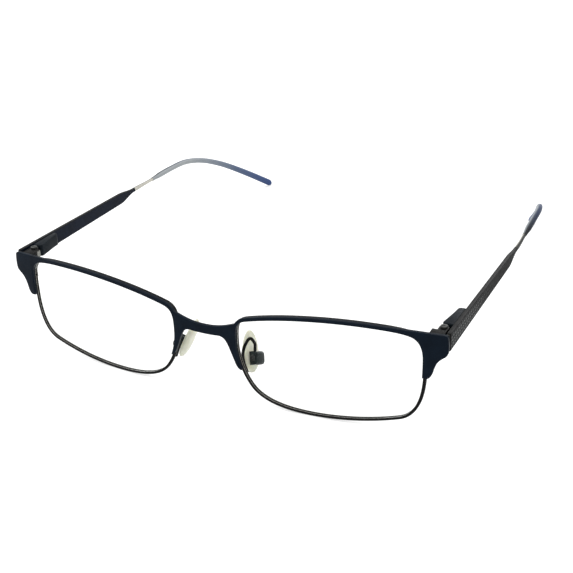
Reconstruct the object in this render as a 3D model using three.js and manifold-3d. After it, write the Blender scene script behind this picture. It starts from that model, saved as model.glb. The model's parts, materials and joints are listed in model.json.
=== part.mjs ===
// Full-rim metal eyeglasses with spring hinges and screw-on nose pads.
// Millimetres. X to the wearer's left, Y from the front to the ears, Z up.
// Everything is drawn for the wearer's left side, and the right side is its mirror image.
// The glasses stand as they do on a table, on the bottoms of the rims and the ends of the tips.

import * as THREE from "three";
import { mergeVertices } from "three/addons/utils/BufferGeometryUtils.js";
import Module from "manifold-3d";

const wasm = await Module();
wasm.setup();

// ---------- driving dimensions ----------

const halfWidth = 67.5; // half the width of the front
const bow = 5; // how far the bridge stands ahead of the outer ends
const bowStep = 5; // width of one flat facet of the bowed front
const braze = 0.05; // gap left at each brazed or resting joint

const plateThickness = 1.2;
const browHeight = 1.05; // height of the bar above each lens
const browStart = -6.6; // the bar follows the lens above this height
const browEnd = 49; // and up to this distance from the middle
const rimFront = plateThickness + braze;
const rimDepth = 1.1;
const rimBack = rimFront + rimDepth;
const rimWidth = 0.85; // radial thickness of the eyewire
const grooveDepth = 0.4;
const grooveWidth = 0.5;
const lensThickness = 1.3;
const lensPlay = 0.04;
const splitZ = -6.85; // where the eyewire is split at the temple side
const splitGap = 0.2;

const hinge = { x: 64.9, y: 5.3, radius: 1.25, top: -0.6, bottom: -5, blockInner: 62.35, blockBack: 3.6 };
const earHeight = 0.9;
const eyePlay = 0.08; // gap above and below the middle eye
const pivotRadius = 0.58;
const pivotPlay = 0.07;

const templeSplay = 0.95; // degrees that each open temple leans outwards
const temple = { inner: 66.8, outer: 67.95, front: 1.55, back: 57.5, edgeRadius: 0.3 };
const bladeTop = { front: -0.1, back: -0.87 };
const bladeBottom = { front: -5.15, back: -4.45 };
const housing = {
  frontInner: 63.7,
  backInner: 64.75,
  front: 7.2,
  back: 17.4,
  top: -0.4,
  bottom: -4.1,
  edge: 0.35,
};
const bore = { x: 65.7, radius: 0.75, end: 15.9 };
const rodRadius = 0.32;
const shankRadius = 0.55;
const coreStart = 60;
const coreEndGap = 7; // length of plastic beyond the end of the core wire

const padTurn = { lean: 17, tilt: 27, splay: 4 }; // degrees
const pad = { x: 12.3, y: 2.2, z: -19.9, height: 12, width: 7, thickness: 1.6, rise: 2 };
const padBack = -1.4; // the pad's own back, from the middle of its screw
const armRadius = 0.45;
const tableTilt = 2.22; // degrees that the temples slope down towards their tips

// ---------- materials ----------

const paint = (color, roughness, metalness, extra = {}) =>
  new THREE.MeshStandardMaterial({ color, roughness, metalness, ...extra });

const material = {
  navy: paint(0x141c28, 0.45, 0.6),
  gunmetal: paint(0x3a3937, 0.35, 0.8),
  textured: paint(0x3d4040, 0.5, 0.7),
  steel: paint(0x9a9a94, 0.3, 1),
  tip: paint(0x4a5a78, 0.25, 0, { transparent: true, opacity: 0.85 }),
  pad: paint(0xe3e0cc, 0.4, 0, { transparent: true, opacity: 0.8 }),
  lens: paint(0xf4f7f8, 0.05, 0, { transparent: true, opacity: 0.2 }),
};

// ---------- solids and meshes ----------

function solid(geometry) {
  const bare = geometry.clone();
  bare.deleteAttribute("normal");
  bare.deleteAttribute("uv");
  const merged = mergeVertices(bare, 1e-4);
  return new wasm.Manifold(
    new wasm.Mesh({
      numProp: 3,
      vertProperties: merged.attributes.position.array,
      triVerts: new Uint32Array(merged.index.array),
    }),
  );
}

function geometryOf(body) {
  const { numProp, vertProperties, triVerts } = body.getMesh();
  const positions = new Float32Array((vertProperties.length / numProp) * 3);
  for (let i = 0; i < positions.length / 3; i++) {
    positions.set(vertProperties.subarray(i * numProp, i * numProp + 3), i * 3);
  }
  const geometry = new THREE.BufferGeometry();
  geometry.setAttribute("position", new THREE.BufferAttribute(positions, 3));
  geometry.setIndex(new THREE.BufferAttribute(new Uint32Array(triVerts), 1));
  geometry.computeVertexNormals();
  return geometry;
}

function piece(name, body, finish) {
  const mesh = new THREE.Mesh(geometryOf(body), finish);
  mesh.name = name;
  return mesh;
}

const unite = (bodies) => bodies.reduce((sum, body) => sum.add(body));

const box = (x0, x1, y0, y1, z0, z1) =>
  solid(
    new THREE.BoxGeometry(x1 - x0, y1 - y0, z1 - z0).translate((x0 + x1) / 2, (y0 + y1) / 2, (z0 + z1) / 2),
  );

// An upright cylinder from z0 to z1.
const post = (x, y, radius, z0, z1, sides = 24) =>
  solid(
    new THREE.CylinderGeometry(radius, radius, z1 - z0, sides)
      .rotateX(Math.PI / 2)
      .translate(x, y, (z0 + z1) / 2),
  );

// A cylinder along Y from y0 to y1.
const rod = (x, z, radius, y0, y1, sides = 20) =>
  solid(new THREE.CylinderGeometry(radius, radius, y1 - y0, sides).translate(x, (y0 + y1) / 2, z));

// An outline in X and Z, extruded along Y.
function prismAlongY(points, y0, y1) {
  const flat = new THREE.ExtrudeGeometry(new THREE.Shape(points), { depth: y1 - y0, bevelEnabled: false });
  return solid(flat.rotateX(Math.PI / 2).translate(0, y1, 0));
}

// An outline in Y and Z, extruded along X.
function prismAlongX(points, x0, x1) {
  const flat = new THREE.ExtrudeGeometry(new THREE.Shape(points), { depth: x1 - x0, bevelEnabled: false });
  const turn = new THREE.Matrix4().makeBasis(
    new THREE.Vector3(0, 1, 0),
    new THREE.Vector3(0, 0, 1),
    new THREE.Vector3(1, 0, 0),
  );
  return solid(flat.applyMatrix4(turn).translate(x0, 0, 0));
}

function tubeAlong(curve, radius, steps, sides) {
  const circle = new THREE.Shape();
  circle.absarc(0, 0, radius, 0, 2 * Math.PI);
  const section = new THREE.Shape(circle.getSpacedPoints(sides).slice(0, sides));
  return solid(new THREE.ExtrudeGeometry(section, { extrudePath: curve, steps }));
}

// A closed skin over rings of equal length, with a flat fan over each end.
function loft(rings) {
  const count = rings[0].length;
  const middle = (ring) => ring.reduce((sum, p) => sum.add(p), new THREE.Vector3()).divideScalar(count);
  const vertices = [...rings.flat(), middle(rings[0]), middle(rings.at(-1))];
  const first = rings.length * count;
  const index = [];
  for (let i = 0; i < count; i++) {
    const next = (i + 1) % count;
    index.push(first, next, i);
    index.push(first + 1, (rings.length - 1) * count + i, (rings.length - 1) * count + next);
    for (let r = 0; r < rings.length - 1; r++) {
      const [a, b] = [r * count + i, r * count + next];
      index.push(a, b, b + count, a, b + count, a + count);
    }
  }
  const skin = new THREE.BufferGeometry().setFromPoints(vertices);
  skin.setIndex(index);
  const body = solid(skin);
  if (body.volume() > 0) return body;
  skin.setIndex(index.reverse());
  return solid(skin);
}

// ---------- the bowed front ----------

const bowY = (x) => bow * ((x / halfWidth) ** 2 - 1);

// A bowed slab that spans the whole front, from offset y0 to offset y1 behind its face.
function bowSlab(y0, y1) {
  const reach = halfWidth + bowStep;
  const xs = Array.from({ length: (2 * reach) / bowStep + 1 }, (_, i) => i * bowStep - reach);
  const face = xs.map((x) => new THREE.Vector2(x, bowY(x) + y0));
  const back = xs.map((x) => new THREE.Vector2(x, bowY(x) + y1)).reverse();
  const outline = new THREE.Shape([...face, ...back]);
  const slab = new THREE.ExtrudeGeometry(outline, { depth: 50, bevelEnabled: false });
  return solid(slab.translate(0, 0, -40));
}

const bowed = (points, y0, y1) => prismAlongY(points, -9, 9).intersect(bowSlab(y0, y1));

// The inner edge of the eyewire, clockwise from its nose-side top corner.
function eyeOutline() {
  const eye = new THREE.Path();
  eye.moveTo(13, -5.15);
  eye.bezierCurveTo(23, -2.4, 36, -1, 47, -1); // along the brow
  eye.bezierCurveTo(51.5, -1, 55.6, -1.05, 58.2, -1.8);
  eye.bezierCurveTo(60.5, -2.5, 61.4, -4.8, 61.45, -8); // top corner at the temple side
  eye.bezierCurveTo(61.5, -11.5, 61.5, -15.5, 60.9, -18.6);
  eye.bezierCurveTo(60.2, -22.2, 58.6, -25.5, 55.5, -26.5); // bottom corner at the temple side
  eye.bezierCurveTo(49, -28.6, 40, -30.3, 31, -30.3); // along the bottom
  eye.bezierCurveTo(24, -30.3, 17.4, -29.3, 14.2, -25.4); // bottom corner at the nose
  eye.bezierCurveTo(11.8, -22.4, 9.9, -17.5, 9.8, -13);
  eye.bezierCurveTo(9.7, -8, 9.95, -5.95, 13, -5.15); // top corner at the nose
  return eye.getPoints(6).slice(0, -1);
}

const eye = eyeOutline();

// The eye outline moved outwards by a distance.
function grown(distance) {
  return eye.map((point, i) => {
    const before = eye.at(i - 1);
    const after = eye[(i + 1) % eye.length];
    const along = after.clone().sub(before).normalize();
    return new THREE.Vector2(point.x - along.y * distance, point.y + along.x * distance);
  });
}

// Half of the front plate's outer edge, from the middle of the bridge round to its underside.
function plateEdge() {
  const browTop = grown(browHeight).filter((p) => p.x < browEnd && p.y > browStart);
  const ordered = [...browTop].sort((a, b) => a.x - b.x);
  const edge = new THREE.Path();
  edge.moveTo(0, -8.6);
  edge.bezierCurveTo(3.6, -8.6, 6, -8, ordered[0].x, ordered[0].y); // top of the bridge
  ordered.slice(1).forEach((p) => edge.lineTo(p.x, p.y));
  edge.lineTo(66.8, -0.2);
  edge.quadraticCurveTo(67.5, -0.3, 67.6, -0.8);
  edge.quadraticCurveTo(68.1, -3.6, 67.75, -5.2); // outer end
  edge.bezierCurveTo(67.55, -6.1, 66.9, -6.4, 66.2, -7);
  edge.bezierCurveTo(65.1, -7.9, 64.5, -9.4, 64.1, -11.2); // hollow under the end lobe
  edge.bezierCurveTo(63.8, -12.5, 63.2, -13.2, 62.4, -13.2); // tip of the wing
  edge.lineTo(60, -13);
  edge.lineTo(58, -9);
  edge.lineTo(15, -9);
  edge.lineTo(13, -20);
  edge.lineTo(11.3, -20.4); // foot of the nose leg
  edge.bezierCurveTo(10.5, -20.4, 10, -19.7, 9.5, -18.6);
  edge.lineTo(7.5, -13.5);
  edge.bezierCurveTo(6.7, -11.8, 6.1, -11, 4.4, -11.05);
  edge.quadraticCurveTo(2.2, -11.25, 0, -11.25); // underside of the bridge
  return edge.getPoints(5);
}

function frontPlate() {
  const left = plateEdge();
  const right = left.slice(1, -1).reverse().map((p) => new THREE.Vector2(-p.x, p.y));
  const opening = grown(braze);
  const otherOpening = opening.map((p) => new THREE.Vector2(-p.x, p.y)).reverse();
  return bowed([...left, ...right], 0, plateThickness)
    .subtract(prismAlongY(opening, -9, 9))
    .subtract(prismAlongY(otherOpening, -9, 9));
}

// ---------- eyewire, lens and rim lock ----------

const grooveFront = rimFront + (rimDepth - grooveWidth) / 2;

const rim = () =>
  bowed(grown(rimWidth), rimFront, rimBack)
    .subtract(prismAlongY(grown(0), -9, 9))
    .subtract(bowed(grown(grooveDepth), grooveFront, grooveFront + grooveWidth))
    .subtract(box(60.5, 63.5, -9, 9, splitZ - splitGap / 2, splitZ + splitGap / 2));

function lens() {
  const front = rimFront + (rimDepth - lensThickness) / 2;
  const body = bowed(grown(-lensPlay), front, front + lensThickness);
  const edge = grown(grooveDepth - lensPlay);
  const tongue = bowed(edge, grooveFront + lensPlay, grooveFront + grooveWidth - lensPlay);
  return body.add(tongue);
}

const lock = { inner: 62.3, outer: 64.6, back: 2.6, height: 1.45 };
const lockPin = { x: 63.45, y: 1.65, radius: 0.4 };

function rimLock(low, high, holeTop) {
  const block = box(lock.inner, lock.outer, -2, lock.back, low, high);
  return block
    .subtract(bowSlab(-5, plateThickness + braze))
    .subtract(post(lockPin.x, lockPin.y, lockPin.radius + braze, low - 1, holeTop, 16));
}

function lockScrew() {
  const under = splitZ - splitGap / 2 - lock.height;
  const { x, y, radius } = lockPin;
  const head = post(x, y, 0.75, under - 0.45, under - braze, 20);
  const stem = post(x, y, radius, under - 0.2, splitZ + splitGap / 2 + 0.8, 16);
  const slot = box(x - 1, x + 1, y - 0.12, y + 0.12, under - 1, under - 0.28);
  return head.add(stem).subtract(slot);
}

// ---------- nose pad and its arm ----------

function padArm() {
  const route = new THREE.CatmullRomCurve3(
    [
      [11.55, -1.98, -22.4],
      [10.6, -1.98, -19.7],
      [10.3, -1.8, -17],
      [10.55, -1, -14.8],
      [11.5, 0.35, -12.95],
      [12.3, 1.55, -14.9],
      [12.1, 1.95, -17.4],
    ].map((p) => new THREE.Vector3(...p)),
  );
  return tubeAlong(route, armRadius, 26, 8);
}

// Box, screw and pad are drawn about the screw's middle:
// X away from the nose, Y along the screw, Z up the pad.
const padBox = { inner: -1.1, outer: 1.6, width: 3.3, height: 3.8, slot: 2.3, web: 0.6, corner: 1.2 };
const padScrewRadius = 0.42;
const padHole = padScrewRadius + 0.08;

function roundedBlock(x0, x1, y0, y1, height, radius) {
  const section = new THREE.Shape();
  const [half, flat] = [height / 2, height / 2 - radius];
  section.moveTo(x0, -half);
  section.lineTo(x1 - radius, -half);
  section.quadraticCurveTo(x1, -half, x1, -flat);
  section.lineTo(x1, flat);
  section.quadraticCurveTo(x1, half, x1 - radius, half);
  section.lineTo(x0, half);
  return prismAlongY(section.getPoints(4), y0, y1);
}

function padCup() {
  const { inner, outer, width, height, slot, web, corner } = padBox;
  return roundedBlock(inner, outer, -width / 2, width / 2, height, corner)
    .subtract(box(-3, outer - web, -slot / 2, slot / 2, -3, 3))
    .subtract(rod(0, 0, padHole, -3, 3, 16));
}

function padScrew() {
  const front = -padBox.width / 2 - braze;
  return rod(0, 0, 0.85, front - 0.4, front, 20)
    .add(rod(0, 0, padScrewRadius, front - 0.1, padBox.width / 2 + 0.15, 16))
    .subtract(box(-1, 1, front - 1, front - 0.25, -0.12, 0.12));
}

function nosePad() {
  const rings = [];
  const face = padBack - pad.thickness;
  const profile = [
    [padBack, 0.8],
    [padBack - 0.2, 0.94],
    [padBack - 0.6, 1],
    [padBack - 1.05, 0.93],
    [face + 0.2, 0.74],
    [face, 0.4],
  ];
  for (const [x, scale] of profile) {
    const ring = [];
    for (let i = 0; i < 24; i++) {
      const angle = (i / 24) * 2 * Math.PI;
      const taper = 1 - 0.16 * Math.sin(angle); // narrower towards the top
      const y = (pad.width / 2) * scale * taper * Math.cos(angle);
      ring.push(new THREE.Vector3(x, y, pad.rise + (pad.height / 2) * scale * Math.sin(angle)));
    }
    rings.push(ring);
  }
  const stem = box(-2.2, 0.75, -1.07, 1.07, -1.1, 1.1);
  return loft(rings).add(stem).subtract(rod(0, 0, padHole, -3, 3, 16));
}

// ---------- spring hinge ----------

const eyeTop = hinge.top - earHeight - eyePlay;
const eyeBottom = hinge.bottom + earHeight + eyePlay;
const boreZ = (housing.top + housing.bottom) / 2;
const bushFront = 8.9;
const collar = { front: 14.5, back: 15.2, radius: 0.66 };

function hingeFork() {
  const { x, y, radius, top, bottom, blockInner, blockBack } = hinge;
  const ears = post(x, y, radius, bottom, top).add(box(x - radius, x + radius, 3, y, bottom, top));
  const block = box(blockInner, x + radius, -2, blockBack, bottom, top);
  return ears
    .add(block)
    .subtract(box(x - 3, x + 3, blockBack - braze, y + 3, eyeBottom - eyePlay, eyeTop + eyePlay))
    .subtract(bowSlab(-5, plateThickness + braze))
    .subtract(post(x, y, pivotRadius + pivotPlay, bottom - 1, top + 1));
}

function hingeScrew() {
  const { x, y, top, bottom } = hinge;
  return post(x, y, 0.98, top + braze, top + 0.42)
    .add(post(x, y, pivotRadius, bottom - 0.1, top + 0.2))
    .subtract(box(x - 2, x + 2, y - 0.14, y + 0.14, top + 0.24, top + 1));
}

function hingeSlider() {
  const { x, y, radius } = hinge;
  return unite([
    post(x, y, radius, eyeBottom, eyeTop),
    box(x - 0.85, bore.x + 0.7, y, housing.front - 0.3, eyeBottom + 0.2, eyeTop - 0.2),
    rod(bore.x, boreZ, bore.radius - 0.07, housing.front - 0.6, bushFront - 0.5),
    rod(bore.x, boreZ, rodRadius, bushFront - 0.6, collar.back - 0.1, 16),
  ]).subtract(post(x, y, pivotRadius + pivotPlay, eyeBottom - 1, eyeTop + 1));
}

// The housing narrows towards the blade as it runs back, and its edges are rounded.
function springHousing() {
  const { frontInner, backInner, front, back, top, bottom, edge } = housing;
  const outer = temple.inner - braze;
  const side = new THREE.Shape();
  side.moveTo(outer, front);
  side.lineTo(outer, back);
  side.lineTo(outer - 0.6, back);
  side.quadraticCurveTo(backInner, back, backInner, back - 1.3);
  side.bezierCurveTo(backInner - 0.15, back - 3.5, frontInner + 0.4, front + 3.5, frontInner, front + 0.9);
  side.quadraticCurveTo(frontInner, front, frontInner + 1.1, front);
  const block = new THREE.ExtrudeGeometry(new THREE.Shape(side.getPoints(5)), {
    depth: top - bottom - 2 * edge,
    bevelEnabled: true,
    bevelThickness: edge,
    bevelSize: edge,
    bevelOffset: -edge,
    bevelSegments: 3,
  });
  const drilled = rod(bore.x, boreZ, bore.radius, front - 1, bore.end);
  return solid(block.translate(0, 0, bottom + edge)).subtract(drilled);
}

const housingBush = () =>
  rod(bore.x, boreZ, bore.radius - braze, bushFront, bushFront + 0.8).subtract(
    rod(bore.x, boreZ, rodRadius + braze, bushFront - 1, bushFront + 2, 16),
  );

const springStop = () =>
  rod(bore.x, boreZ, collar.radius, collar.front, collar.back).subtract(
    rod(bore.x, boreZ, rodRadius + 0.03, collar.front - 1, collar.back + 1, 16),
  );

function hingeSpring() {
  const [turns, wire, mean] = [5, 0.11, 0.52];
  const from = bushFront + 0.8 + wire + braze;
  const to = collar.front - wire - braze;
  const coil = Array.from({ length: turns * 8 + 1 }, (_, i) => {
    const angle = (i / 8) * 2 * Math.PI;
    const along = from + ((to - from) * i) / (turns * 8);
    return new THREE.Vector3(bore.x + mean * Math.cos(angle), along, boreZ + mean * Math.sin(angle));
  });
  return tubeAlong(new THREE.CatmullRomCurve3(coil), wire, turns * 10, 6);
}

// ---------- temple and its tip ----------

// The centre line of the shank, the core wire and the tip.
const earLine = new THREE.CatmullRomCurve3(
  [
    [67.2, coreStart, -2.2],
    [67.25, 67, -2.3],
    [66.85, 76, -2.15],
    [66.35, 88, -1.9],
    [65.65, 98, -2.3],
    [63.95, 107, -4.3],
    [61.5, 117.5, -8.6],
    [58, 130.5, -15.8],
    [52.8, 145, -25],
  ].map((p) => new THREE.Vector3(...p)),
);
const sleeveStart = 0.175; // the share of the ear line where the plastic begins

class PartOfCurve extends THREE.Curve {
  constructor(curve, from, to) {
    super();
    Object.assign(this, { curve, from, to });
  }
  getPoint(t, target = new THREE.Vector3()) {
    return target.copy(this.curve.getPointAt(this.from + (this.to - this.from) * t));
  }
}

function bladeProfile() {
  const { front, back, edgeRadius } = temple;
  const side = new THREE.Shape();
  side.moveTo(front, bladeBottom.front + edgeRadius);
  side.quadraticCurveTo(front, bladeBottom.front, front + edgeRadius, bladeBottom.front);
  side.lineTo(back - 2, bladeBottom.back);
  // it narrows into the shank
  side.bezierCurveTo(back + 1, bladeBottom.back, back + 2.5, -3, back + 7, -2.75);
  side.lineTo(back + 7, -1.8);
  side.bezierCurveTo(back + 4, -1.7, back + 2.5, bladeTop.back, back, bladeTop.back);
  side.lineTo(front + edgeRadius, bladeTop.front);
  side.quadraticCurveTo(front, bladeTop.front, front, bladeTop.front - edgeRadius);
  return side.getPoints(5);
}

function templeMetal() {
  const end = 1 - coreEndGap / earLine.getLength();
  const wire = tubeAlong(new PartOfCurve(earLine, 0, end), shankRadius, 40, 8);
  return prismAlongX(bladeProfile(), temple.inner, temple.outer).add(wire);
}

// Half height and half thickness of the plastic at a share of its length.
function tipSection(t) {
  const flare = THREE.MathUtils.smoothstep(t, 0.35, 1);
  const collarIn = THREE.MathUtils.smoothstep(t, 0, 0.12);
  return [0.82 + 0.13 * collarIn + 0.3 * flare, 0.85 + 0.15 * collarIn];
}

function templeTip() {
  const steps = 30;
  const sides = 12;
  const sleeve = new PartOfCurve(earLine, sleeveStart, 1);
  const rings = [];
  for (let i = 0; i <= steps; i++) {
    // the last four rings close the rounded end
    const domed = Math.max(0, (i - steps + 4) / 4);
    const t = domed ? 0.975 + 0.025 * Math.sin(domed * 1.5) : (i / (steps - 4)) * 0.975;
    const dome = Math.cos(domed * 1.35);
    const along = sleeve.getTangent(t);
    const across = new THREE.Vector3(1, 0, 0).addScaledVector(along, -along.x).normalize();
    const up = new THREE.Vector3().crossVectors(across, along);
    const [height, thickness] = tipSection(t);
    const ring = [];
    for (let k = 0; k < sides; k++) {
      const angle = (k / sides) * 2 * Math.PI;
      ring.push(
        sleeve
          .getPoint(t)
          .addScaledVector(up, height * dome * Math.sin(angle))
          .addScaledVector(across, thickness * dome * Math.cos(angle)),
      );
    }
    rings.push(ring);
  }
  const length = earLine.getLength();
  const core = new PartOfCurve(earLine, sleeveStart - 0.02, 1 - (coreEndGap - 0.4) / length);
  return loft(rings).subtract(tubeAlong(core, shankRadius + braze, 40, 8));
}

// ---------- assembly ----------

function noseParts(side) {
  const stand = new THREE.Group();
  const [tilt, lean, splay] = [padTurn.tilt, padTurn.lean, padTurn.splay].map(THREE.MathUtils.degToRad);
  stand.position.set(pad.x, pad.y, pad.z);
  stand.rotation.set(-tilt, -lean, -splay, "YXZ");
  stand.add(
    piece(`${side}_pad_box`, padCup(), material.gunmetal),
    piece(`${side}_pad_screw`, padScrew(), material.steel),
    piece(`${side}_nose_pad`, nosePad(), material.pad),
  );
  return stand;
}

// Everything that swings with one temple, turned outwards about the hinge pin.
function templeParts(side) {
  const splay = new THREE.Group();
  splay.position.set(hinge.x, hinge.y, 0);
  splay.rotation.z = THREE.MathUtils.degToRad(-templeSplay);
  const drawn = new THREE.Group();
  drawn.position.set(-hinge.x, -hinge.y, 0);
  drawn.add(
    piece(`${side}_hinge_slider`, hingeSlider(), material.steel),
    piece(`${side}_spring_housing`, springHousing(), material.gunmetal),
    piece(`${side}_housing_bush`, housingBush(), material.steel),
    piece(`${side}_hinge_spring`, hingeSpring(), material.steel),
    piece(`${side}_spring_stop`, springStop(), material.steel),
    piece(`${side}_temple`, templeMetal(), material.textured),
    piece(`${side}_temple_tip`, templeTip(), material.tip),
  );
  splay.add(drawn);
  return splay;
}

function sideParts(side) {
  const lockLow = splitZ - splitGap / 2;
  const lockHigh = splitZ + splitGap / 2;
  const upperLock = rimLock(lockHigh, lockHigh + lock.height, lockHigh + 1);
  const lowerLock = rimLock(lockLow - lock.height, lockLow, lockLow + 1);
  const half = new THREE.Group();
  half.add(
    piece(`${side}_rim`, rim(), material.gunmetal),
    piece(`${side}_lens`, lens(), material.lens),
    piece(`${side}_rim_lock_upper`, upperLock, material.gunmetal),
    piece(`${side}_rim_lock_lower`, lowerLock, material.gunmetal),
    piece(`${side}_rim_lock_screw`, lockScrew(), material.steel),
    piece(`${side}_pad_arm`, padArm(), material.gunmetal),
    noseParts(side),
    piece(`${side}_hinge_fork`, hingeFork(), material.gunmetal),
    piece(`${side}_hinge_screw`, hingeScrew(), material.steel),
    templeParts(side),
  );
  return half;
}

const glasses = new THREE.Group();
glasses.add(piece("front_plate", frontPlate(), material.navy));
const leftHalf = sideParts("left");
const rightHalf = sideParts("right");
rightHalf.scale.x = -1;
glasses.add(leftHalf, rightHalf);

// Stand the glasses on the table, with the middle of their footprint at the origin.
glasses.rotation.x = THREE.MathUtils.degToRad(-tableTilt);
glasses.updateMatrixWorld(true);
const extent = new THREE.Box3().setFromObject(glasses, true);
glasses.position.set(0, -(extent.min.y + extent.max.y) / 2, -extent.min.z);

export default glasses;
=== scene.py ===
"""Metal eyeglasses: the fine surfaces, finishes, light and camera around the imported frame."""
import json
from math import atan2, ceil, cos, pi, radians, sin

import bmesh
import bpy
from mathutils import Matrix, Vector


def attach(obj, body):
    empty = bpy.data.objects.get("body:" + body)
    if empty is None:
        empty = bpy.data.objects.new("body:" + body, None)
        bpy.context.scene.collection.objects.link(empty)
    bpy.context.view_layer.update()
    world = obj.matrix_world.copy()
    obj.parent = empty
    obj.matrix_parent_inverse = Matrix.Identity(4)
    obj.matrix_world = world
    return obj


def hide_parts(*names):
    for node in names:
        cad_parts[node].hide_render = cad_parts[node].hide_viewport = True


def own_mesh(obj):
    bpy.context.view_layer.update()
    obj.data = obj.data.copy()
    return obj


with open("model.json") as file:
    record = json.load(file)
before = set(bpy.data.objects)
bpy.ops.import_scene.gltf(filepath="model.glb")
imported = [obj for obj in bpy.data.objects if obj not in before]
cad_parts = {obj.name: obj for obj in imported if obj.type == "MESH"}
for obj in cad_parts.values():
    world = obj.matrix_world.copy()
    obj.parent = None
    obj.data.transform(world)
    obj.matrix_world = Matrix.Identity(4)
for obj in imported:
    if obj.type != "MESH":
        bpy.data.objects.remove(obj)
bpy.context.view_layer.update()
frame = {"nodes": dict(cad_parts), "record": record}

# ---------- driving dimensions, in millimetres in the drawing's own frame ----------
# X to the wearer's left, Y from the front to the ears, Z up, zero at the top of the front's outer ends.

MM = 0.001
HALF_WIDTH = 67.5
BOW = 5
PLATE_THICKNESS = 1.2
BROW_HEIGHT = 1.05
BROW_START = -6.6
BROW_END = 49
BRAZE = 0.05
RIM_FRONT = PLATE_THICKNESS + BRAZE
RIM_DEPTH = 1.1
RIM_WIDTH = 0.85
GROOVE_DEPTH = 0.4
GROOVE_WIDTH = 0.5
LENS_THICKNESS = 1.3
SPLIT_Z = -6.85
SPLIT_GAP = 0.2
EYE_STEP = 0.5
WING_END, LEG_END = -13.15, -20.35
PLATE_EDGE = 0.16
BEND_STEP = 2
RIM_ROUND, LIP_ROUND = 0.25, 0.1
LENS_PLAY = 0.04
LENS_DOME = 0.7
LENS_RINGS = 10

HINGE = Vector((64.9, 5.3, -2.8))
SPLAY = radians(0.95)
BLADE_INNER, BLADE_OUTER = 66.8, 67.95
BLADE_FRONT, BLADE_BACK = 1.55, 57.5
BLADE_EDGE, BLADE_END_ROUND = 0.16, 0.3
BLADE_TOP = (-0.1, -0.87)
BLADE_BOTTOM = (-5.15, -4.45)
SHANK_RADIUS = 0.55
NECK_X, NECK_Z = 67.24, -2.27
NECK_HEIGHT = 0.75
NECK_BEGINS, NECK_ENDS = BLADE_BACK - 2, BLADE_BACK + 6.5
NECK_STEP, NECK_RINGS, DARK_NECK_RINGS = 0.35, 22, 20
CORE_END_GAP = 7
EAR_STEP = 0.5
SLEEVE_START = 0.175
FACE_POINTS = 36
ETCH_STEP = 0.15
ETCH_DEPTH = 0.12
ETCH_FULL, ETCH_FADED = 14, 42
ETCH_PITCH = (1.45, 1.15)
ETCH_MARGIN = 0.8
ETCH_OVAL = (0.8, 0.36)
ETCH_SLANT = radians(-43)

# nose pads: the middle of the screw, and the pad's own size about it
PAD_AT = Vector((12.3, 2.2, -19.9))
PAD_LEAN, PAD_TILT, PAD_SPLAY = radians(17), radians(27), radians(4)
PAD_HEIGHT, PAD_WIDTH, PAD_BACK, PAD_RISE = 12, 7, -1.4, 2
PAD_TAPER = 0.16
PAD_SIDES = 56
STEM_WIDE, STEM_TALL, STEM_LONG, STEM_BACK = 2.14, 2.2, 2.8, -0.65
ARM_RADIUS = 0.45

SIDES = {"left": 1, "right": -1}


def design_matrix():
    """From the drawing's frame, in millimetres, to the row frame, read off the left fold joint."""
    joints = frame["record"]["behaviour"]["joints"]
    fold = next(j for j in joints if j["name"] == "left_temple_fold")
    turn = Matrix.Rotation(-atan2(fold["axis"][1], fold["axis"][2]), 4, "X")
    shift = Vector(fold["pos_m"]) - turn @ (HINGE * MM)
    return Matrix.Translation(shift) @ turn @ Matrix.Scale(MM, 4)


DESIGN = design_matrix()
SWING = Matrix.Translation(HINGE) @ Matrix.Rotation(-SPLAY, 4, "Z") @ Matrix.Translation(-HINGE)
PAD_TURN = (
    Matrix.Rotation(-PAD_LEAN, 4, "Y")
    @ Matrix.Rotation(-PAD_TILT, 4, "X")
    @ Matrix.Rotation(-PAD_SPLAY, 4, "Z")
)
PAD_FRAME = Matrix.Translation(PAD_AT) @ PAD_TURN


def side_matrix(side, inner=Matrix()):
    """Placement of what is drawn for the wearer's left side, on either side."""
    return DESIGN @ Matrix.Diagonal((SIDES[side], 1, 1, 1)) @ inner


# ---------- camera, floor and light ----------


def camera():
    azimuth, elevation, roll = radians(26.538), radians(25.578), radians(-1.497)
    back = Vector((sin(azimuth) * cos(elevation), -cos(azimuth) * cos(elevation), sin(elevation)))
    level = Vector((cos(azimuth), sin(azimuth), 0))
    rise = back.cross(level)
    right = cos(roll) * level + sin(roll) * rise
    up = -sin(roll) * level + cos(roll) * rise
    place = Matrix((right, up, back)).transposed().to_4x4()
    at = DESIGN @ Vector((129.069, -211.647, 118.526))
    turn = DESIGN.to_3x3().normalized().to_4x4()
    data = bpy.data.cameras.new("camera")
    data.sensor_width = 36
    data.lens = 62.83
    data.clip_start = 0.01
    seen = bpy.data.objects.new("camera", data)
    seen.matrix_world = Matrix.Translation(at) @ turn @ place
    bpy.context.scene.collection.objects.link(seen)
    bpy.context.scene.camera = seen


def area_light(name, at, target, size, power):
    data = bpy.data.lights.new(name, "AREA")
    data.shape = "RECTANGLE"
    data.size, data.size_y = size
    data.energy = power
    lamp = bpy.data.objects.new(name, data)
    aim = (Vector(target) - Vector(at)).to_track_quat("-Z", "Y").to_matrix().to_4x4()
    lamp.matrix_world = Matrix.Translation(at) @ aim
    bpy.context.scene.collection.objects.link(lamp)


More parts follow.
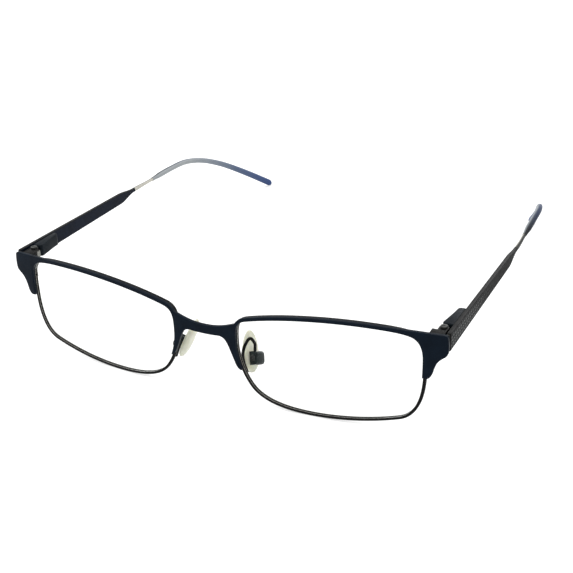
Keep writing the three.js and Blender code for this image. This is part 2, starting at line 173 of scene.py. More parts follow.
def studio():
    world = bpy.data.worlds.new("soft white studio")
    world.use_nodes = True
    background = world.node_tree.nodes["Background"]
    background.inputs["Color"].default_value = (1, 1, 1, 1)
    background.inputs["Strength"].default_value = 1.0
    bpy.context.scene.world = world
    bpy.context.scene.view_settings.view_transform = "Standard"
    area_light("key", (-0.25, -0.15, 0.7), (0, 0, 0.02), (0.6, 0.4), 3.0)
    area_light("back", (0.2, 0.8, 0.5), (0, 0.02, 0.02), (0.8, 0.3), 3.0)

    bm = bmesh.new()
    bmesh.ops.create_grid(bm, x_segments=8, y_segments=8, size=3)
    mesh = bpy.data.meshes.new("floor")
    bm.to_mesh(mesh)
    bm.free()
    floor = bpy.data.objects.new("floor", mesh)
    mesh.materials.append(floor_finish())
    bpy.context.scene.collection.objects.link(floor)


# ---------- finishes ----------


class Finish:
    """A Principled material and short calls that wire textures into it."""

    def __init__(self, name, **values):
        self.material = bpy.data.materials.new(name)
        self.material.use_nodes = True
        self.tree = self.material.node_tree
        self.shader = self.tree.nodes["Principled BSDF"]
        for key, value in values.items():
            self.shader.inputs[key.replace("_", " ")].default_value = value
        self.place = self.node("ShaderNodeTexCoord").outputs["Object"]

    def node(self, kind, **inputs):
        made = self.tree.nodes.new(kind)
        for key, value in inputs.items():
            socket = made.inputs[key.replace("_", " ")]
            if isinstance(value, bpy.types.NodeSocket):
                self.tree.links.new(value, socket)
            else:
                socket.default_value = value
        return made

    def noise(self, scale, detail=3.0):
        return self.node("ShaderNodeTexNoise", Vector=self.place, Scale=scale, Detail=detail).outputs["Fac"]

    def ramp(self, value, low, high, out_low, out_high):
        made = self.node("ShaderNodeMapRange", Value=value)
        for key, number in zip(("From Min", "From Max", "To Min", "To Max"), (low, high, out_low, out_high)):
            made.inputs[key].default_value = number
        return made.outputs["Result"]

    def mix(self, amount, first, second):
        made = self.tree.nodes.new("ShaderNodeMix")
        made.data_type = "RGBA"
        for socket, value in ((made.inputs[0], amount), (made.inputs[6], first), (made.inputs[7], second)):
            if isinstance(value, bpy.types.NodeSocket):
                self.tree.links.new(value, socket)
            else:
                socket.default_value = value if isinstance(value, float) else (*value, 1)
        return made.outputs[2]

    def clouded(self, colour, spread, edge):
        """The colour with faint light and dark clouds, and paler where the surface turns sharply."""
        cloud = self.ramp(self.noise(350), 0.3, 0.7, 0, 1)
        base = self.mix(cloud, *(tuple(c * k for c in colour) for k in (1 - spread, 1 + spread)))
        turned = self.node("ShaderNodeNewGeometry").outputs["Pointiness"]
        worn = tuple(min(1, c * 2.5 + 0.02) for c in colour)
        return self.mix(self.ramp(turned, 0.54, 0.62, 0, edge), base, worn)

    def outward(self, low, high):
        """1 where the surface faces away from the middle of the glasses, and 0 where it faces the head."""
        coordinates = self.node("ShaderNodeTexCoord")
        x = self.node("ShaderNodeSeparateXYZ", Vector=coordinates.outputs["Object"]).outputs["X"]
        facing = self.node("ShaderNodeSeparateXYZ", Vector=coordinates.outputs["Normal"]).outputs["X"]
        product = self.node("ShaderNodeMath")
        product.operation = "MULTIPLY"
        self.tree.links.new(self.ramp(x, -0.001, 0.001, -1, 1), product.inputs[0])
        self.tree.links.new(facing, product.inputs[1])
        return self.ramp(product.outputs[0], low, high, 0, 1)

    def colour(self, socket):
        self.tree.links.new(socket, self.shader.inputs["Base Color"])

    def roughness(self, socket):
        self.tree.links.new(socket, self.shader.inputs["Roughness"])

    def bump(self, height, strength, distance=0.00005):
        made = self.node("ShaderNodeBump", Height=height, Strength=strength, Distance=distance)
        self.tree.links.new(made.outputs["Normal"], self.shader.inputs["Normal"])


def metal_finish(name, colour, rough, specular, edge=0.3, spread=0.2, grain=0.25):
    """Plated or painted metal: tiny grain, faint clouding and worn, paler edges."""
    finish = Finish(name, Specular_IOR_Level=specular)
    finish.colour(finish.clouded(colour, spread, edge))
    finish.roughness(finish.ramp(finish.noise(900, 5), 0.3, 0.7, rough * 0.85, rough * 1.2))
    finish.bump(finish.noise(9000, 4), grain)
    return finish.material


def etched_finish():
    """Dark plating whose stamped ovals get a painted highlight on their rims and painted shade on their
    floors.
    """
    finish = Finish("etched plating", Specular_IOR_Level=0.012)
    base = finish.clouded((0.009, 0.0095, 0.0095), 0.3, 0.05)
    etch_highlight_and_shade = finish.node("ShaderNodeAttribute")
    etch_highlight_and_shade.attribute_name = "etch_highlight_and_shade"
    # painted light: the pale rims stand for the highlight on the stamps' edges, the dark floors for the
    # shade in the pits
    rim_highlight = finish.ramp(etch_highlight_and_shade.outputs["Fac"], 0.1, 0.8, 0, 1)
    pit_shade = finish.ramp(etch_highlight_and_shade.outputs["Fac"], -0.1, -0.4, 0, 1)
    paler = finish.mix(rim_highlight, base, (0.18, 0.185, 0.185))
    finish.colour(finish.mix(pit_shade, paler, (0.002, 0.0025, 0.003)))
    finish.roughness(finish.ramp(finish.noise(900, 5), 0.3, 0.7, 0.4, 0.55))
    finish.bump(finish.noise(6000, 4), 0.3)
    return finish.material


def two_faced_finish(name, towards_head, outside, specular):
    """Plating that is pale where it faces the head and dark outside."""
    finish = Finish(name, Specular_IOR_Level=specular)
    pale = finish.clouded(towards_head, 0.1, 0)
    finish.colour(finish.mix(finish.outward(-0.6, 0.1), pale, outside))
    finish.roughness(finish.ramp(finish.noise(900, 5), 0.3, 0.7, 0.25, 0.35))
    finish.bump(finish.noise(7000, 4), 0.15)
    return finish.material


def floor_finish():
    finish = Finish("pale paper", Roughness=0.9, Specular_IOR_Level=0.1, Emission_Strength=0.5)
    cloud = finish.ramp(finish.noise(40), 0.3, 0.7, 0, 1)
    finish.colour(finish.mix(cloud, (0.54, 0.54, 0.54), (0.56, 0.56, 0.56)))
    finish.bump(finish.noise(600, 4), 0.05)
    return finish.material


def tip_finish():
    """Smoky plastic that runs from grey at the metal to navy at the end of the ear, darker outside."""
    finish = Finish("tip plastic", Transmission_Weight=0.02, Specular_IOR_Level=0.02)
    along = finish.node("ShaderNodeSeparateXYZ", Vector=finish.place).outputs["Y"]
    inside = finish.mix(finish.ramp(along, 0.03, 0.055, 0, 1), (0.29, 0.31, 0.32), (0.1, 0.13, 0.19))
    inside = finish.mix(finish.ramp(along, 0.052, 0.074, 0, 1), inside, (0.035, 0.062, 0.165))
    outside = finish.mix(finish.ramp(along, 0.008, 0.035, 0, 1), (0.008, 0.009, 0.009), (0.028, 0.046, 0.1))
    cloud = finish.ramp(finish.noise(300), 0.3, 0.7, 0, 0.12)
    both = finish.mix(finish.outward(-0.6, 0.1), inside, outside)
    finish.colour(finish.mix(cloud, both, (0.05, 0.06, 0.1)))
    finish.roughness(finish.ramp(finish.noise(700, 4), 0.3, 0.7, 0.3, 0.42))
    finish.bump(finish.noise(2500), 0.06)
    return finish.material


def pad_finish():
    """Milky soft plastic, a little yellowed."""
    finish = Finish("nose pad plastic", Transmission_Weight=0.35, IOR=1.42, Subsurface_Weight=0.4)
    finish.shader.inputs["Subsurface Radius"].default_value = (0.0012, 0.001, 0.0007)
    cloud = finish.ramp(finish.noise(500), 0.3, 0.7, 0, 1)
    finish.colour(finish.mix(cloud, (0.68, 0.68, 0.55), (0.79, 0.79, 0.67)))
    finish.roughness(finish.ramp(finish.noise(1200, 4), 0.3, 0.7, 0.28, 0.42))
    finish.bump(finish.noise(3000), 0.08)
    return finish.material


def lens_finish():
    """Clear lens: straight light passes, and a faint gloss grows as the view slants."""
    finish = Finish("clear lens")
    tree, nodes = finish.tree, finish.tree.nodes
    clear = finish.node("ShaderNodeBsdfTransparent", Color=(0.99, 0.993, 0.99, 1))
    finish.shader.inputs["Base Color"].default_value = (0.9, 0.93, 0.92, 1)
    finish.roughness(finish.ramp(finish.noise(900, 4), 0.3, 0.7, 0.02, 0.06))
    finish.bump(finish.noise(60), 0.02)
    slant = finish.node("ShaderNodeFresnel", IOR=1.12)
    smudge = finish.ramp(finish.noise(120), 0.35, 0.65, 0.12, 0.28)
    amount = nodes.new("ShaderNodeMath")
    amount.operation = "MULTIPLY"
    tree.links.new(slant.outputs["Fac"], amount.inputs[0])
    tree.links.new(smudge, amount.inputs[1])
    both = nodes.new("ShaderNodeMixShader")
    tree.links.new(amount.outputs[0], both.inputs["Fac"])
    tree.links.new(clear.outputs[0], both.inputs[1])
    tree.links.new(finish.shader.outputs[0], both.inputs[2])
    tree.links.new(both.outputs[0], nodes["Material Output"].inputs["Surface"])
    return finish.material


FINISH = {
    "enamel": metal_finish("navy enamel", (0.0023, 0.0058, 0.0115), 0.38, 0.045, edge=0.05),
    "gunmetal": metal_finish("gunmetal plating", (0.0045, 0.0047, 0.0047), 0.36, 0.06, 0.15, spread=0.25),
    "fitting": metal_finish("dark fitting plating", (0.015, 0.02, 0.02), 0.34, 0.12, spread=0.25),
    # pale lip colour: a painted reflection of the light off the eyewire's faces beside the lens
    "lip_reflection": metal_finish("rim lip painted reflection", (0.15, 0.142, 0.13), 0.35, 0.2),
    "blade": etched_finish(),
    "blade_inside": metal_finish("blade inside", (0.0045, 0.0075, 0.0145), 0.42, 0.045, edge=0.1),
    "shank": two_faced_finish("shank plating", (0.44, 0.43, 0.38), (0.012, 0.013, 0.012), 0.06),
    "steel": metal_finish("screw steel", (0.03, 0.032, 0.03), 0.3, 0.2, grain=0.4),
    # the pale colour on the side facing the head is a painted highlight, the soft light spot on the hinge
    "eye": two_faced_finish("hinge eye steel with painted highlight", (0.2, 0.203, 0.185), (0.006, 0.0065, 0.0065), 0.08),
    "housing": metal_finish("housing plating", (0.006, 0.009, 0.012), 0.36, 0.04, edge=0.08, spread=0.15),
    "tip": tip_finish(),
    "pad": pad_finish(),
    "lens": lens_finish(),
}

# ---------- mesh helpers ----------


def finished(name, bm, place, body, finishes, nodes, sharp=radians(38)):
    """Puts a drawn mesh in place, shades it smooth up to sharp edges, and hands it to its body."""
    bm.transform(place)
    bmesh.ops.remove_doubles(bm, verts=bm.verts, dist=0.002 * MM)
    bmesh.ops.recalc_face_normals(bm, faces=bm.faces)
    for face in bm.faces:
        face.smooth = True
    for edge in bm.edges:
        edge.smooth = len(edge.link_faces) == 2 and edge.calc_face_angle(0) < sharp
    mesh = bpy.data.meshes.new(name)
    bm.to_mesh(mesh)
    bm.free()
    for key in finishes:
        mesh.materials.append(FINISH[key])
    made = bpy.data.objects.new(name, mesh)
    bpy.context.scene.collection.objects.link(made)
    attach(made, body)
    if nodes:
        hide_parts(*nodes)
    return made


def skin(rings, material_of=None):
    """A mesh over rings of equal length, capped at both ends."""
    bm = bmesh.new()
    rows = [[bm.verts.new(p) for p in ring] for ring in rings]
    count = len(rows[0])
    for a, b in zip(rows, rows[1:]):
        for i in range(count):
            j = (i + 1) % count
            face = bm.faces.new((a[i], a[j], b[j], b[i]))
            if material_of:
                face.material_index = material_of(i)
    bm.faces.new(rows[0])
    bm.faces.new(reversed(rows[-1]))
    return bm


def slab(outline, thickness, bevel):
    """A flat outline in X and Y, extruded evenly about Z with rounded edges."""
    data = bpy.data.curves.new("slab", "CURVE")
    data.dimensions = "2D"
    data.fill_mode = "BOTH"
    data.extrude = thickness / 2 - bevel
    data.bevel_depth = bevel
    data.bevel_resolution = 3
    data.offset = -bevel
    spline = data.splines.new("POLY")
    spline.points.add(len(outline) - 1)
    for spot, (x, y) in zip(spline.points, outline):
        spot.co = (x, y, 0, 1)
    spline.use_cyclic_u = True
    shape = bpy.data.objects.new("slab", data)
    bpy.context.scene.collection.objects.link(shape)
    made = bpy.data.meshes.new_from_object(shape.evaluated_get(bpy.context.evaluated_depsgraph_get()))
    bm = bmesh.new()
    bm.from_mesh(made)
    bpy.data.objects.remove(shape)
    bpy.data.curves.remove(data)
    bpy.data.meshes.remove(made)
    bmesh.ops.remove_doubles(bm, verts=bm.verts, dist=0.001)
    return bm


def slice_across(bm, reach, step):
    """Cuts a mesh into narrow upright strips, so that it can bend."""
    for i in range(1, ceil(2 * reach / step)):
        parts = bm.verts[:] + bm.edges[:] + bm.faces[:]
        bmesh.ops.bisect_plane(bm, geom=parts, plane_co=(i * step - reach, 0, 0), plane_no=(1, 0, 0))


def bezier(points, steps):
    """Points along joined cubic curves, given as start, then two handles and an end for each."""
    made = [Vector(points[0])]
    for a, b, c, d in zip(points[0::3], points[1::3], points[2::3], points[3::3]):
        a, b, c, d = (Vector(p) for p in (a, b, c, d))
        for i in range(1, steps + 1):
            t = i / steps
            made.append(a * (1 - t) ** 3 + b * 3 * t * (1 - t) ** 2 + c * 3 * t * t * (1 - t) + d * t**3)
    return made


def evenly(points, step, closed=False):
    """The same line with evenly spaced points."""
    line = list(points) + ([points[0]] if closed else [])
    lengths = [0.0]
    for a, b in zip(line, line[1:]):
        lengths.append(lengths[-1] + (b - a).length)
    count = max(2, round(lengths[-1] / step))
    made, k = [], 0
    for i in range(count + (not closed)):
        want = lengths[-1] * i / count
        while k < len(line) - 2 and lengths[k + 1] < want:
            k += 1
        made.append(line[k].lerp(line[k + 1], (want - lengths[k]) / max(1e-9, lengths[k + 1] - lengths[k])))
    return made


def catmull(points, steps):
    """A smooth line through the points, with centripetal spacing."""
    ends = [points[0] * 2 - points[1], *points, points[-1] * 2 - points[-2]]
    made = []
    for p0, p1, p2, p3 in zip(ends, ends[1:], ends[2:], ends[3:]):
        d0, d1, d2 = ((b - a).length ** 0.5 for a, b in ((p0, p1), (p1, p2), (p2, p3)))
        m1 = (p1 - p0) / d0 - (p2 - p0) / (d0 + d1) + (p2 - p1) / d1
        m2 = (p2 - p1) / d1 - (p3 - p1) / (d1 + d2) + (p3 - p2) / d2
        m1, m2 = m1 * d1, m2 * d1
        for i in range(steps):
            t = i / steps
            h0, h1 = 2 * t**3 - 3 * t**2 + 1, -2 * t**3 + 3 * t**2
            made.append(p1 * h0 + p2 * h1 + m1 * (t**3 - 2 * t**2 + t) + m2 * (t**3 - t**2))
    return [*made, points[-1]]


def tangents(line):
    last = len(line) - 1
    return [(line[min(i + 1, last)] - line[max(i - 1, 0)]).normalized() for i in range(last + 1)]


def oval_rings(line, size_of, sides):
    """Ovals across a line: half height upwards and half thickness sideways, from size_of(share)."""
    rings = []
    for i, (point, along) in enumerate(zip(line, tangents(line))):
        across = (Vector((1, 0, 0)) - along * along.x).normalized()
        up = across.cross(along)
        height, thickness = size_of(i / (len(line) - 1))
        turns = (2 * pi * k / sides for k in range(sides))
        rings.append([point + up * (height * sin(a)) + across * (thickness * cos(a)) for a in turns])
    return rings


def smoothstep(x, low, high):
    t = min(1, max(0, (x - low) / (high - low)))
    return t * t * (3 - 2 * t)


def merged(first, second):
    """The second mesh added to the first."""
    spare = bpy.data.meshes.new("spare")
    second.to_mesh(spare)
    second.free()
    first.from_mesh(spare)
    bpy.data.meshes.remove(spare)
    return first


# ---------- the bowed front ----------


def bow_y(x):
    return BOW * ((x / HALF_WIDTH) ** 2 - 1)


# The eyewire's inner edge, clockwise from the middle of its bottom.
EYE_CURVE = [
    (31, -30.3),
    (24, -30.3), (17.4, -29.3), (14.2, -25.4),
    (11.8, -22.4), (9.9, -17.5), (9.8, -13),
    (9.7, -8), (9.95, -5.95), (13, -5.15),
    (23, -2.4), (36, -1), (47, -1),
    (51.5, -1), (55.6, -1.05), (58.2, -1.8),
    (60.5, -2.5), (61.4, -4.8), (61.45, -8),
    (61.5, -11.5), (61.5, -15.5), (60.9, -18.6),
    (60.2, -22.2), (58.6, -25.5), (55.5, -26.5),
    (49, -28.6), (40, -30.3), (31, -30.3),
]
# The end lobe and the wing, from the top down, and the arch under the bridge, from the nose leg inwards.
OUTER_END = [
    (66.8, -0.2),
    (67.3, -0.27), (67.57, -0.5), (67.6, -0.8),
    (67.93, -2.6), (67.95, -4.2), (67.75, -5.2),
    (67.55, -6.1), (66.9, -6.4), (66.2, -7),
    (65.1, -7.9), (64.5, -9.4), (64.1, -11.2),
    (63.8, -12.5), (63.2, -13.2), (62.4, -13.2),
]
ARCH = [
    (7.5, -13.5),
    (6.7, -11.8), (6.1, -11), (4.4, -11.05),
    (3, -11.2), (1.4, -11.25), (0, -11.25),
]
EYE = evenly(bezier(EYE_CURVE, 30)[:-1], EYE_STEP, closed=True)


def grown(line, distance, closed=True):
    """A clockwise line moved outwards by a distance."""
    made, last = [], len(line) - 1
    for i, point in enumerate(line):
        before = line[i - 1] if closed or i else point
        after = line[(i + 1) % len(line)] if closed or i < last else point
        along = (after - before).normalized()
        made.append(Vector((point.x - along.y * distance, point.y + along.x * distance)))
    return made


def plate_outline():
    """The plate's whole edge, with both eyes left open below."""
    brow = [p for p in grown(EYE, BROW_HEIGHT) if p.x < BROW_END and p.y > BROW_START]
    brow.sort(key=lambda p: p.x)
    bridge_top = bezier([(0, -8.6), (3.6, -8.6), (6, -8), brow[0]], 14)
    end = bezier(OUTER_END, 9)
    opening = [p for p in grown(EYE, BRAZE) if p.y > (WING_END if p.x > BROW_END else LEG_END)]
    leg = bezier([(11.3, -20.4), (10.5, -20.4), (10, -19.7), (9.5, -18.6)], 9)
    arch = bezier(ARCH, 12)
    half = bridge_top + brow[1:] + end + opening[::-1] + leg + arch
    return half + [Vector((-p.x, p.y)) for p in reversed(half[1:-1])]


def front_plate():
    bm = slab(plate_outline(), PLATE_THICKNESS, PLATE_EDGE)
    slice_across(bm, 70, BEND_STEP)
    for v in bm.verts:
        x, up, back = v.co
        v.co = (x, bow_y(x) + PLATE_THICKNESS / 2 + back, up)
    finished("plate", bm, DESIGN, "front", ["enamel"], ["front_plate"])


# ---------- eyewire and lens ----------

GROOVE_FRONT = RIM_FRONT + (RIM_DEPTH - GROOVE_WIDTH) / 2
GROOVE_BACK = GROOVE_FRONT + GROOVE_WIDTH


def split_line():
    """The eyewire's inner edge as an open line, from just under its split round to just above it."""
    start = next(i for i, p in enumerate(EYE) if p.x > BROW_END and p.y < SPLIT_Z)
    below, above = EYE[start], EYE[start - 1]
    share = (SPLIT_Z - below.y) / (above.y - below.y)
    middle = below.lerp(above, share)
    line = evenly([middle, *EYE[start:], *EYE[:start], middle], EYE_STEP)
    for end, beyond in ((0, 1), (-1, -2)):
        gap = (line[beyond] - line[end]).normalized() * (SPLIT_GAP / 2)
        line[end] = line[end] + gap
    return line


def rim_section():
    """Radius and depth round the eyewire's section: rounded outside, with the lens groove inside."""
    r, d0, d1 = RIM_ROUND, RIM_FRONT, RIM_FRONT + RIM_DEPTH
    corners = [(RIM_WIDTH - r, d1 - r, 0), (RIM_WIDTH - r, d0 + r, -90)]
    section = [(0.0, GROOVE_FRONT), (GROOVE_DEPTH, GROOVE_FRONT)]
    section += [(GROOVE_DEPTH, GROOVE_BACK), (0.0, GROOVE_BACK)]
    section += [(0.0, d1 - LIP_ROUND), (LIP_ROUND, d1)]
    for cr, cd, turn in corners:
        for k in range(5):
            a = radians(90 + turn - 90 * k / 4)
            section.append((cr + r * cos(a), cd + r * sin(a)))
    section += [(LIP_ROUND, d0), (0.0, d0 + LIP_ROUND)]
    return section


def rim(side):
    section = rim_section()
    line = split_line()
    rows = [grown(line, radius, closed=False) for radius, _ in section]
    rings = []
    for points in zip(*rows):
        rings.append([(p.x, bow_y(p.x) + depth, p.y) for p, (_, depth) in zip(points, section)])
    # the faces beside the groove get the pale finish, a painted reflection of the light they catch
    inner = {3, 4, len(section) - 1}  # the lips on both sides of the groove
    bm = skin(rings, material_of=lambda i: int(i in inner))
    finishes = ["gunmetal", "lip_reflection"]
    finished(f"{side}_eyewire", bm, side_matrix(side), "front", finishes, [f"{side}_rim"])


def lens(side):
    """A domed lens whose edge sits in the groove."""
    front = RIM_FRONT + (RIM_DEPTH - LENS_THICKNESS) / 2
    back = front + LENS_THICKNESS
    middle = sum((p for p in EYE), Vector((0, 0))) / len(EYE)
    body = grown(EYE, -LENS_PLAY)
    tongue = grown(EYE, GROOVE_DEPTH - LENS_PLAY)
    shares = [0.03, *(k / LENS_RINGS for k in range(1, LENS_RINGS + 1))]

    def ring(share, depth, line=body):
        dome = LENS_DOME * (1 - share * share)
        made = [middle.lerp(p, share) for p in line]
        return [(p.x, bow_y(p.x) + depth - dome, p.y) for p in made]

    rings = [ring(s, front) for s in shares]
    rings += [ring(1, GROOVE_FRONT + LENS_PLAY), ring(1, GROOVE_FRONT + LENS_PLAY, tongue)]
    rings += [ring(1, GROOVE_BACK - LENS_PLAY, tongue), ring(1, GROOVE_BACK - LENS_PLAY)]
    rings += [ring(s, back) for s in reversed(shares)]
    bm = skin(rings)
    finished(f"{side}_clear_lens", bm, side_matrix(side), "front", ["lens"], [f"{side}_lens"])


# ---------- nose pads ----------


def pad_arm(side):
    route = [
        (11.55, -1.98, -22.4),
        (10.6, -1.98, -19.7),
        (10.3, -1.8, -17),
        (10.55, -1, -14.8),
        (11.5, 0.35, -12.95),
        (12.3, 1.55, -14.9),
        (12.1, 1.95, -17.4),
    ]
    line = evenly(catmull([Vector(p) for p in route], 16), 0.22)
    bm = skin(oval_rings(line, lambda share: (ARM_RADIUS, ARM_RADIUS), 20))
    place = side_matrix(side)
    finished(f"{side}_arm_wire", bm, place, "front", ["gunmetal"], [f"{side}_pad_arm"])


def nose_pad(side):
    """A soft teardrop cushion on a square stem. The stem has no hole, so the pad screw runs through it."""
    # how far in front of the pad's back, and how large, the cushion is along its rounded side
    profile = bezier(
        [
            (0, 0.88),
            (0.05, 0.97), (0.3, 1.0), (0.5, 1.0),
            (1.0, 1.0), (1.45, 0.8), (1.53, 0.55),
            (1.59, 0.38), (1.6, 0.2), (1.6, 0.06),
        ],
        6,
    )

    def ring(forward, scale):
        made = []
        for k in range(PAD_SIDES):
            a = 2 * pi * k / PAD_SIDES
            taper = 1 - PAD_TAPER * sin(a)
            y = PAD_WIDTH / 2 * scale * taper * cos(a)
            made.append((PAD_BACK - forward, y, PAD_RISE + PAD_HEIGHT / 2 * scale * sin(a)))
        return made

    bm = skin([ring(0, 0.06), ring(0, 0.4), *(ring(x, s) for x, s in profile)])
    y, z = STEM_WIDE / 2, STEM_TALL / 2
    stem = slab([Vector(p) for p in ((-y, -z), (y, -z), (y, z), (-y, z))], STEM_LONG, 0.25)
    for v in stem.verts:
        across, up, along = v.co
        v.co = (along + STEM_BACK, across, up)
    bm = merged(bm, stem)
    place = side_matrix(side, PAD_FRAME)
    finished(f"{side}_pad_cushion", bm, place, f"{side}_pad", ["pad"], [f"{side}_nose_pad"])


# ---------- temples ----------


def etched(along, up):
    """Depth of the oval stamps in a temple's outer face, and their colour mark: above 0 a painted highlight
    on the rims, below 0 painted shade on the floors. They fade out towards the ear.
    """
    strength = (1 - 0.8 * smoothstep(along, ETCH_FULL, ETCH_FADED)) * (1 - smoothstep(along, 50, 56))
    strength *= smoothstep(along, BLADE_FRONT + 0.2, BLADE_FRONT + 1)
    top, bottom = lerp(BLADE_TOP, along), lerp(BLADE_BOTTOM, along)
    strength *= smoothstep(min(top - up, up - bottom), 0.3, 0.55)
    row = (top - up - ETCH_MARGIN) / ETCH_PITCH[1]
    near = round(row)
    column = along / ETCH_PITCH[0] - 0.5 * (near % 2)
    u = (column - round(column)) * ETCH_PITCH[0]
    w = (row - near) * ETCH_PITCH[1]
    lean_u = u * cos(ETCH_SLANT) + w * sin(ETCH_SLANT)
    lean_w = w * cos(ETCH_SLANT) - u * sin(ETCH_SLANT)
    inside = ((lean_u / ETCH_OVAL[0]) ** 2 + (lean_w / ETCH_OVAL[1]) ** 2) ** 0.5
    pit = 1 - smoothstep(inside, 0.55, 0.95)
    rim_line = smoothstep(inside, 0.7, 1.0) * (1 - smoothstep(inside, 1.0, 1.3))
    return ETCH_DEPTH * strength * pit, strength * (rim_line - 0.5 * pit)


def lerp(ends, along):
    share = (along - BLADE_FRONT) / (BLADE_BACK - BLADE_FRONT)
    return ends[0] + (ends[1] - ends[0]) * share


def section(centre, up, across, half_height, half_thickness, corner):
    """A rounded rectangle: many points up the outer face, fewer round the rest."""
    h, t = half_height - corner, half_thickness - corner
    made = [(t + corner, h * (2 * k / (FACE_POINTS - 1) - 1)) for k in range(FACE_POINTS)]
    made += arc(t, h, corner, 0)
    made += [(t * (1 - 2 * k / 5), h + corner) for k in range(1, 5)]
    made += arc(-t, h, corner, 90)
    made += [(-t - corner, h * (1 - 2 * k / 13)) for k in range(1, 13)]
    made += arc(-t, -h, corner, 180)
    made += [(t * (2 * k / 5 - 1), -h - corner) for k in range(1, 5)]
    made += arc(t, -h, corner, 270)
    return [centre + across * x + up * z for x, z in made]


def arc(x, z, radius, start):
    turns = (radians(start + 90 * (k + 0.5) / 5) for k in range(5))
    return [(x + radius * cos(a), z + radius * sin(a)) for a in turns]


def ear_line():
    return evenly(
        catmull(
            [
                Vector(p)
                for p in (
                    (67.2, 60, -2.2),
                    (67.25, 67, -2.3),
                    (66.85, 76, -2.15),
                    (66.35, 88, -1.9),
                    (65.65, 98, -2.3),
                    (63.95, 107, -4.3),
                    (61.5, 117.5, -8.6),
                    (58, 130.5, -15.8),
                    (52.8, 145, -25),
                )
            ],
            24,
        ),
        EAR_STEP,
    )


EAR = ear_line()
SLEEVE = EAR[round(SLEEVE_START * (len(EAR) - 1)) :]


def blade_stations():
    along, made = BLADE_FRONT, []
    while along < BLADE_BACK:
        made.append(along)
        from_front = along - BLADE_FRONT
        along += 0.04 if from_front < 0.3 else ETCH_STEP if from_front < 44 else 0.4
    return made


def blade_section(along):
    """Centre, half height, half thickness and corner radius of the blade and of its neck into the wire."""
    neck = smoothstep(along, NECK_BEGINS, NECK_ENDS)
    top = lerp(BLADE_TOP, along) * (1 - neck) + (NECK_Z + NECK_HEIGHT) * neck
    bottom = lerp(BLADE_BOTTOM, along) * (1 - neck) + (NECK_Z - NECK_HEIGHT) * neck
    middle = (BLADE_INNER + BLADE_OUTER) / 2 * (1 - neck) + NECK_X * neck
    half_height = (top - bottom) / 2
    half_thickness = (BLADE_OUTER - BLADE_INNER) / 2 * (1 - neck) + SHANK_RADIUS * neck
    corner = BLADE_EDGE * (1 - neck) + (SHANK_RADIUS - 0.01) * neck
    round_off = max(0, 1 - (along - BLADE_FRONT) / BLADE_END_ROUND)
    pulled = BLADE_END_ROUND * (1 - (1 - round_off**2) ** 0.5)
    half_height -= pulled
    half_thickness -= pulled * 0.4
    return Vector((middle, along, (top + bottom) / 2)), half_height, half_thickness, corner


def temple(side):
    """Blade, neck and core wire in one skin: etched outside, smooth inside, bright inside the bare wire."""
    rings, etch_highlight_and_shade = [], []
    stations = blade_stations()
    neck = [BLADE_BACK + NECK_STEP * k for k in range(NECK_RINGS)]
    for along in stations + neck:
        centre, *sizes = blade_section(along)
        ring = section(centre, Vector((0, 0, 1)), Vector((1, 0, 0)), *sizes)
        marks = [0.0] * len(ring)
        for k in range(FACE_POINTS):
            depth, marks[k] = etched(along, ring[k].z)
            ring[k].x -= depth
        rings.append(ring)
        etch_highlight_and_shade += marks
    wire = [p for p in EAR if p.y > neck[-1] + 0.3]
    wire = wire[: -round(CORE_END_GAP / EAR_STEP)]
    for point, along in zip(wire, tangents(wire)):
        across = (Vector((1, 0, 0)) - along * along.x).normalized()
        tall = SHANK_RADIUS + (NECK_HEIGHT - SHANK_RADIUS) * (1 - smoothstep(point.y, 66, 73))
        rings.append(section(point, across.cross(along), across, tall, SHANK_RADIUS, SHANK_RADIUS - 0.01))
        etch_highlight_and_shade += [0.0] * len(rings[0])
    bm = skin(rings)
    # the mark paints a highlight on the stamps' rims and shade on their floors
    layer = bm.verts.layers.float.new("etch_highlight_and_shade")
    for v, mark in zip(bm.verts, etch_highlight_and_shade):
        v[layer] = mark
    around = len(rings[0])
    last_blade = (len(stations) + DARK_NECK_RINGS) * around
    for n, face in enumerate(bm.faces):
        k = n % around
        outer = k < FACE_POINTS + 1 or k > around - 3
        inner = FACE_POINTS + 12 <= k <= FACE_POINTS + 30
        face.material_index = 2 if n > last_blade else 0 if outer else 1 if inner else 3
    place = side_matrix(side, SWING)
    name, finishes = f"{side}_temple_blade", ["blade", "blade_inside", "shank", "gunmetal"]
    finished(name, bm, place, f"{side}_temple", finishes, [f"{side}_temple"])


def tip_size(share):
    """Half height and half thickness of the plastic at a share of its length."""
    flare = smoothstep(share, 0.35, 1)
    mouth = smoothstep(share, 0, 0.08)
    dome = max(0.0, 1 - max(0.0, (share - 0.975) / 0.025) ** 2) ** 0.5
    return (0.66 + 0.29 * mouth + 0.3 * flare) * dome, (0.66 + 0.34 * mouth) * dome


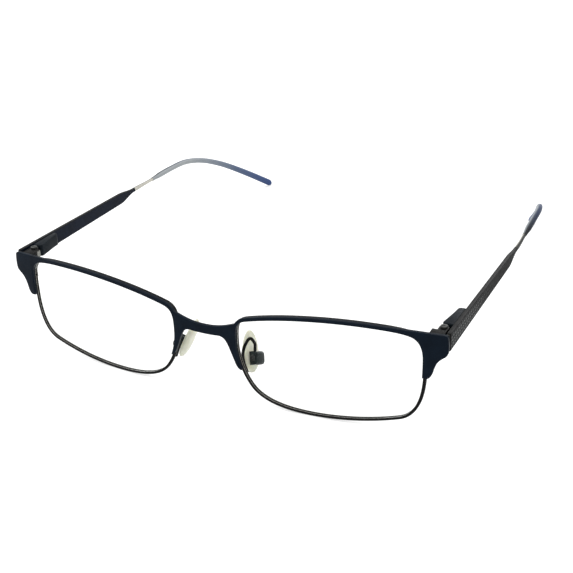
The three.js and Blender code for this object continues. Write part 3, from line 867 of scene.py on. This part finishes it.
def temple_tip(side):
    """The plastic sleeve with its bore over the core wire, its soft mouth and its rounded end."""
    end = SLEEVE[-1]
    beyond = [SLEEVE[-2].lerp(end, t) for t in (0.3, 0.55, 0.75, 0.88, 0.95, 0.985)]
    line = SLEEVE[:-1] + beyond
    lengths = [0.0]
    for a, b in zip(line, line[1:]):
        lengths.append(lengths[-1] + (b - a).length)
    total = (end - line[-1]).length + lengths[-1]
    sizes = [tip_size(s / total) for s in lengths]
    frames = []
    for point, along in zip(line, tangents(line)):
        across = (Vector((1, 0, 0)) - along * along.x).normalized()
        frames.append((point, across.cross(along), across))

    def ring(i, height, thickness):
        point, up, across = frames[i]
        turns = (2 * pi * k / 28 for k in range(28))
        return [point + up * (height * sin(a)) + across * (thickness * cos(a)) for a in turns]

    bore = SHANK_RADIUS + BRAZE
    deep = round((CORE_END_GAP - 0.4) / EAR_STEP)
    rings = [ring(i, bore, bore) for i in range(len(SLEEVE) - deep, -1, -2)]
    rings.append(ring(0, (bore + sizes[0][0]) / 2, (bore + sizes[0][1]) / 2))
    rings += [ring(i, *size) for i, size in enumerate(sizes)]
    bm = skin(rings)
    place = side_matrix(side, SWING)
    nodes = [f"{side}_temple_tip"]
    finished(f"{side}_ear_sleeve", bm, place, f"{side}_temple", ["tip"], nodes)


# ---------- the small hardware, with softened edges ----------


def refined(node, finish, body, edge):
    """The drawn solid again, its flats joined and its sharp edges rounded."""
    bm = bmesh.new()
    bm.from_mesh(frame["nodes"][node].data)
    bmesh.ops.remove_doubles(bm, verts=bm.verts, dist=0.0005 * MM)
    bmesh.ops.dissolve_limit(bm, angle_limit=radians(1), verts=bm.verts, edges=bm.edges)
    sharp = [e for e in bm.edges if len(e.link_faces) == 2 and e.calc_face_angle(0) > radians(50)]
    if edge:
        bmesh.ops.bevel(
            bm, geom=sharp, offset=edge * MM, offset_type="OFFSET", segments=2, profile=0.5, affect="EDGES",
            clamp_overlap=True,
        )
    return finished(f"{node}_fine", bm, Matrix(), body, [finish], [node])


def hinge_spring(side):
    """The coil, as drawn, in a mesh of its own. On the real hinge the collar on the rod shortens it from its
    back end as the temple is pulled out.
    """
    coil = refined(f"{side}_hinge_spring", "steel", f"{side}_temple", 0)
    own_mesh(coil)


def hardware(side):
    front, eye, swing = "front", f"{side}_hinge_eye", f"{side}_temple"
    for name, finish, body, slot, edge in (
        ("rim_lock_upper", "gunmetal", front, "dark_metal", 0.12),
        ("rim_lock_lower", "gunmetal", front, "dark_metal", 0.12),
        ("rim_lock_screw", "steel", front, "screw_steel", 0.04),
        ("pad_box", "fitting", front, "dark_metal", 0.4),
        ("pad_screw", "steel", front, "screw_steel", 0.05),
        ("hinge_fork", "gunmetal", front, "dark_metal", 0.08),
        ("hinge_screw", "steel", front, "screw_steel", 0.05),
        # the slider's eye carries a painted highlight on its side facing the head
        ("hinge_slider", "eye", eye, "screw_steel", 0.06),
        ("spring_stop", "steel", eye, "screw_steel", 0.03),
        ("housing_bush", "steel", swing, "screw_steel", 0.03),
        ("spring_housing", "housing", swing, "dark_metal", 0.05),
    ):
        refined(f"{side}_{name}", finish, body, edge)
    hinge_spring(side)


# ---------- everything ----------

camera()
studio()
front_plate()
for wearer_side in SIDES:
    rim(wearer_side)
    lens(wearer_side)
    pad_arm(wearer_side)
    nose_pad(wearer_side)
    temple(wearer_side)
    temple_tip(wearer_side)
    hardware(wearer_side)
